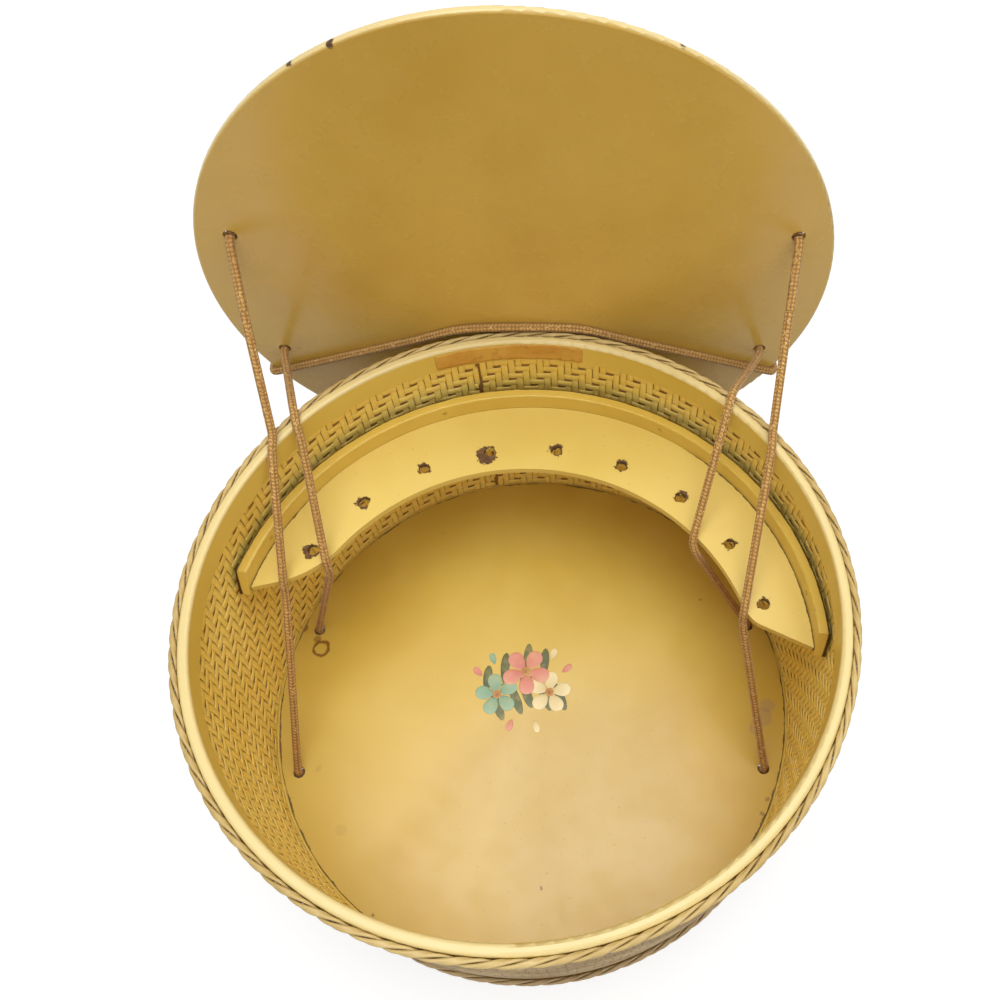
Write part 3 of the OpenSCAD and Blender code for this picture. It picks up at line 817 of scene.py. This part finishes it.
def blossom(shape, x, y, size, turn, ink, tip, z):
    """A plain five-petal flower with a small round eye."""
    for k in range(5):
        heading = turn + TAU * k / 5
        root = (x + size * 0.1 * math.cos(heading), y + size * 0.1 * math.sin(heading))
        blade(shape, root, heading, size, size * 0.86, z + 0.006 * k, ink, tip, 1.4)
    eye, pollen = rgb(150, 92, 40), rgb(196, 140, 70)
    for k in range(6):
        blade(shape, (x, y), turn + TAU * k / 6, size * 0.24, size * 0.2, z + 0.06, eye, pollen)


def posy():
    """A generic spray of flowers, buds and oval leaves along one curved stem."""
    pink, blush = rgb(198, 106, 96), rgb(216, 148, 128)
    aqua, mist = rgb(110, 152, 124), rgb(146, 180, 150)
    cream, ivory = rgb(206, 186, 130), rgb(232, 218, 170)
    green, moss = rgb(62, 74, 44), rgb(96, 104, 58)
    shape = Shape()
    stem = [(3.6 * k - 32.6, 13 * math.sin(k / 17 * math.pi) - 8) for k in range(16)]
    for (x0, y0), (x1, y1) in zip(stem, stem[1:]):
        heading, length = math.atan2(y1 - y0, x1 - x0), math.hypot(x1 - x0, y1 - y0)
        blade(shape, (x0, y0 + 6), heading, length * 1.25, 0.9, FLOOR_TOP + 0.02, green, green)
    for k, side, length in (
        (1, 1, 9), (2, -1, 10), (4, 1, 10), (5, -1, 11), (7, -1, 10), (8, 1, 11),
        (10, -1, 11), (11, 1, 10), (13, -1, 9),
    ):
        x, y = stem[k]
        heading = 1.5 if side > 0 else -1.2
        blade(shape, (x, y + 6), heading, 2.1 * length, 6.4, FLOOR_TOP + 0.03, green, moss)
    for x, y, heading, ink, tip in (
        (-32, 12, 2.3, pink, blush), (-24, 20, 1.9, aqua, mist), (19, 14, 0.7, pink, blush),
        (12, 23, 1.2, cream, ivory), (-12, -16, -1.9, pink, blush), (2, -17, -1.3, cream, ivory),
    ):
        blade(shape, (x, y), heading, 8, 5, FLOOR_TOP + 0.05, ink, tip, 1.2)
    blossom(shape, -22, 0, 12.5, 0.5, aqua, mist, FLOOR_TOP + 0.07)
    blossom(shape, 11, 1, 12.5, 0.2, cream, ivory, FLOOR_TOP + 0.07)
    blossom(shape, -4, 15, 14, 1.0, pink, blush, FLOOR_TOP + 0.1)
    piece = shape.make("flower_transfer", ink_material())
    fit_in(piece, "floor_transfer")


torn_label()
posy()


# Materials of the pieces that keep their solids
def dress(node, material):
    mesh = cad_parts[node].data
    mesh.materials.clear()
    mesh.materials.append(material)


for node, material in {
    "rim_hoop": trim_paint, "base_hoop": base_paint, "floor_board": floor_paint(),
    "tray_shelf": tray_paint(), "tray_lip": lip_paint, "lid_board": lid_paint,
    "rim_nails": bare_brads, "foot_nails": bare_brads, "tray_nails": brads, "shelf_brads": brads,
}.items():
    dress(node, material)


# Stage and light
STAGE_GREY = (0.4, 0.4, 0.4)
GLOW_NEAR, GLOW_FAR = 0.6, 0.9
WORLD_TINT = (1, 0.985, 0.96, 1)
WORLD_LEVEL = 0.45


def stage():
    """A pale floor that runs out into white and keeps the object's shadow, under a soft even sky."""
    n = Nodes("pale_floor", 0.9)
    path = n.tree.nodes.new("ShaderNodeLightPath")
    seen = n.math("MAXIMUM", path.outputs["Is Camera Ray"], path.outputs["Is Glossy Ray"])
    seen = n.math("MAXIMUM", seen, path.outputs["Is Transmission Ray"])
    glow = n.span(n.gap(n.place, (0, 0, 0)), 0.5, 2.0, GLOW_NEAR, GLOW_FAR)
    n.put(n.shader.inputs["Emission Strength"], n.math("MULTIPLY", seen, glow))
    n.shader.inputs["Emission Color"].default_value = (1, 1, 1, 1)
    n.finish(STAGE_GREY)
    mesh = bpy.data.meshes.new("floor")
    mesh.from_pydata([(-4, -4, 0), (4, -4, 0), (4, 4, 0), (-4, 4, 0)], [], [(0, 1, 2, 3)])
    mesh.materials.append(n.material)
    floor = bpy.data.objects.new("floor", mesh)
    scene.collection.objects.link(floor)
    world = bpy.data.worlds.new("world")
    world.use_nodes = True
    scene.world = world
    tree = world.node_tree
    path = tree.nodes.new("ShaderNodeLightPath")
    light, white = tree.nodes.new("ShaderNodeBackground"), tree.nodes.new("ShaderNodeBackground")
    mixed = tree.nodes.new("ShaderNodeMixShader")
    light.inputs[0].default_value = WORLD_TINT
    light.inputs[1].default_value = WORLD_LEVEL
    white.inputs[0].default_value = (1, 1, 1, 1)
    tree.links.new(path.outputs["Is Camera Ray"], mixed.inputs[0])
    tree.links.new(light.outputs[0], mixed.inputs[1])
    tree.links.new(white.outputs[0], mixed.inputs[2])
    tree.links.new(mixed.outputs[0], tree.nodes["World Output"].inputs[0])


def area_light(name, location, target, size, power):
    data = bpy.data.lights.new(name, "AREA")
    data.shape = "DISK"
    data.size = size
    data.energy = power
    lamp = bpy.data.objects.new(name, data)
    lamp.location = location
    aim = Vector(target) - Vector(location)
    lamp.rotation_euler = aim.to_track_quat("-Z", "Y").to_euler()
    scene.collection.objects.link(lamp)


stage()
area_light("overhead", (-0.02, 0, 1.5), (0, 0, 0.1), 1.1, 10)
area_light("wide", (0.25, -0.15, 1.4), (0, 0, 0.1), 2.6, 17)
area_light("front", (0.2, -1.1, 0.6), (0, 0.1, 0.2), 0.7, 1.6)
